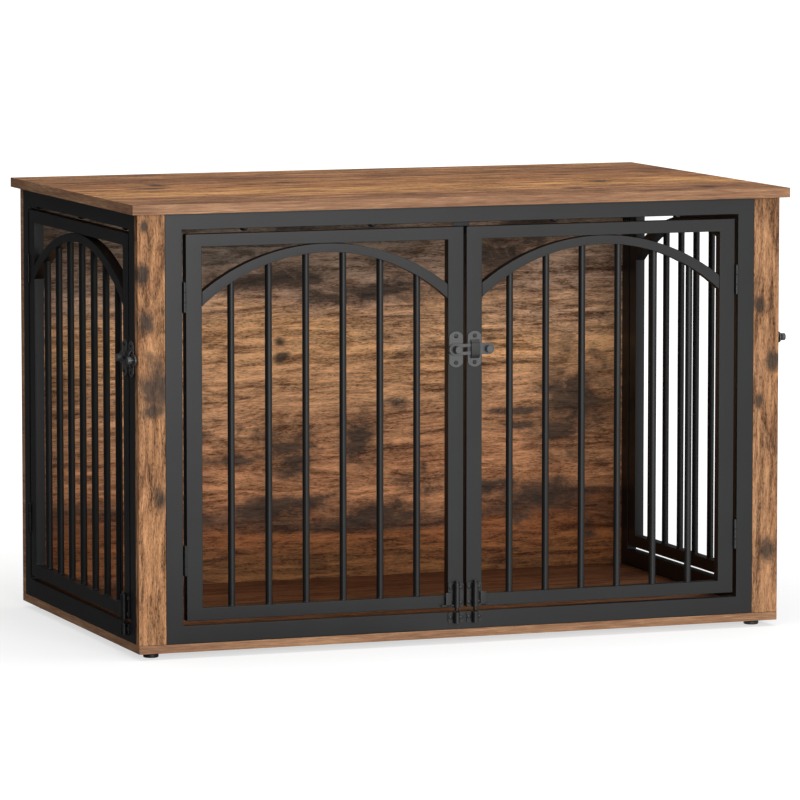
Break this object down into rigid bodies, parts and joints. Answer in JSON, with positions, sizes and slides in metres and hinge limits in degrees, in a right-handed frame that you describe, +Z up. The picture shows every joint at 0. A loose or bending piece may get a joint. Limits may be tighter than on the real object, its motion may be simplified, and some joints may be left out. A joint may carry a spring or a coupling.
{
  "type": "dog crate end table",
  "caption": "Board-topped end table that is a dog crate: barred steel doors in the front and both sides, closed by sliding latches and drop bolts.",
  "frame": {"origin": "on the floor, at the centre of the footprint", "axes": "+X along the table's length to the viewer's right, +Y from the double-door front to the board back, +Z up"},
  "size_m": [1.0048, 0.6004, 0.643],
  "materials": {
    "rustic_board": "satin printed wood-grain laminate",
    "board_edge": "satin wood-grain edge band",
    "frame_steel": "matt black powder coat",
    "hardware_steel": "satin dark grey coat",
    "foot_plastic": "moulded black plastic"
  },
  "bodies": {
    "crate": {"tabletop": "rustic_board", "base_board": "board_edge", "back_panel": "rustic_board", "front_post_left": "rustic_board", "front_post_right": "rustic_board", "foot_front_left": "foot_plastic", "foot_front_right": "foot_plastic", "foot_back_left": "foot_plastic", "foot_back_right": "foot_plastic", "front_frame": "frame_steel", "left_side_frame": "frame_steel", "right_side_frame": "frame_steel", "door_stop": "frame_steel", "front_left_upper_hinge_frame_leaf": "hardware_steel", "front_left_lower_hinge_frame_leaf": "hardware_steel", "front_left_bolt_keeper": "hardware_steel", "front_right_upper_hinge_frame_leaf": "hardware_steel", "front_right_lower_hinge_frame_leaf": "hardware_steel", "front_right_bolt_keeper": "hardware_steel", "left_side_upper_hinge_frame_leaf": "hardware_steel", "left_side_lower_hinge_frame_leaf": "hardware_steel", "left_side_bolt_keeper": "hardware_steel", "right_side_upper_hinge_frame_leaf": "hardware_steel", "right_side_lower_hinge_frame_leaf": "hardware_steel", "right_side_bolt_keeper": "hardware_steel", "left_side_latch_guide": "hardware_steel", "right_side_latch_guide": "hardware_steel"},
    "front_left_door": {"front_left_door_frame": "frame_steel", "front_left_door_grille": "frame_steel", "front_left_upper_hinge_door_leaf": "hardware_steel", "front_left_lower_hinge_door_leaf": "hardware_steel", "front_left_bolt_barrel": "hardware_steel", "front_latch_keeper": "hardware_steel"},
    "front_left_bolt": {"front_left_bolt_rod": "hardware_steel"},
    "front_right_door": {"front_right_door_frame": "frame_steel", "front_right_door_grille": "frame_steel", "front_right_upper_hinge_door_leaf": "hardware_steel", "front_right_lower_hinge_door_leaf": "hardware_steel", "front_right_bolt_barrel": "hardware_steel", "front_latch_guide": "hardware_steel"},
    "front_right_bolt": {"front_right_bolt_rod": "hardware_steel"},
    "left_side_door": {"left_side_door_frame": "frame_steel", "left_side_door_grille": "frame_steel", "left_side_upper_hinge_door_leaf": "hardware_steel", "left_side_lower_hinge_door_leaf": "hardware_steel", "left_side_bolt_barrel": "hardware_steel", "left_side_latch_keeper": "hardware_steel"},
    "left_side_bolt": {"left_side_bolt_rod": "hardware_steel"},
    "right_side_door": {"right_side_door_frame": "frame_steel", "right_side_door_grille": "frame_steel", "right_side_upper_hinge_door_leaf": "hardware_steel", "right_side_lower_hinge_door_leaf": "hardware_steel", "right_side_bolt_barrel": "hardware_steel", "right_side_latch_keeper": "hardware_steel"},
    "right_side_bolt": {"right_side_bolt_rod": "hardware_steel"},
    "front_latch": {"front_latch_slider": "hardware_steel"},
    "left_side_latch": {"left_side_latch_slider": "hardware_steel"},
    "right_side_latch": {"right_side_latch_slider": "hardware_steel"}
  },
  "joints": [
    {"name": "front_left_door_swing", "type": "hinge", "parent": "crate", "child": "front_left_door", "pos_m": [-0.42095, -0.2882, 0.325], "axis": [0, 0, -1], "range_deg": [0, 160]},
    {"name": "front_right_door_swing", "type": "hinge", "parent": "crate", "child": "front_right_door", "pos_m": [0.42095, -0.2882, 0.325], "axis": [0, 0, 1], "range_deg": [0, 160]},
    {"name": "left_side_door_swing", "type": "hinge", "parent": "crate", "child": "left_side_door", "pos_m": [-0.4902, 0.24395, 0.325], "axis": [0, 0, -1], "range_deg": [0, 160]},
    {"name": "right_side_door_swing", "type": "hinge", "parent": "crate", "child": "right_side_door", "pos_m": [0.4902, 0.24395, 0.325], "axis": [0, 0, 1], "range_deg": [0, 160]},
    {"name": "front_latch_slide", "type": "slide", "parent": "front_right_door", "child": "front_latch", "axis": [1, 0, 0], "range_m": [-0.009, 0]},
    {"name": "left_side_latch_slide", "type": "slide", "parent": "crate", "child": "left_side_latch", "axis": [0, -1, 0], "range_m": [-0.009, 0]},
    {"name": "right_side_latch_slide", "type": "slide", "parent": "crate", "child": "right_side_latch", "axis": [0, -1, 0], "range_m": [-0.009, 0]},
    {"name": "front_left_bolt_slide", "type": "slide", "parent": "front_left_door", "child": "front_left_bolt", "axis": [0, 0, 1], "range_m": [-0.008, 0]},
    {"name": "front_right_bolt_slide", "type": "slide", "parent": "front_right_door", "child": "front_right_bolt", "axis": [0, 0, 1], "range_m": [-0.008, 0]},
    {"name": "left_side_bolt_slide", "type": "slide", "parent": "left_side_door", "child": "left_side_bolt", "axis": [0, 0, 1], "range_m": [-0.008, 0]},
    {"name": "right_side_bolt_slide", "type": "slide", "parent": "right_side_door", "child": "right_side_bolt", "axis": [0, 0, 1], "range_m": [-0.008, 0]}
  ]
}
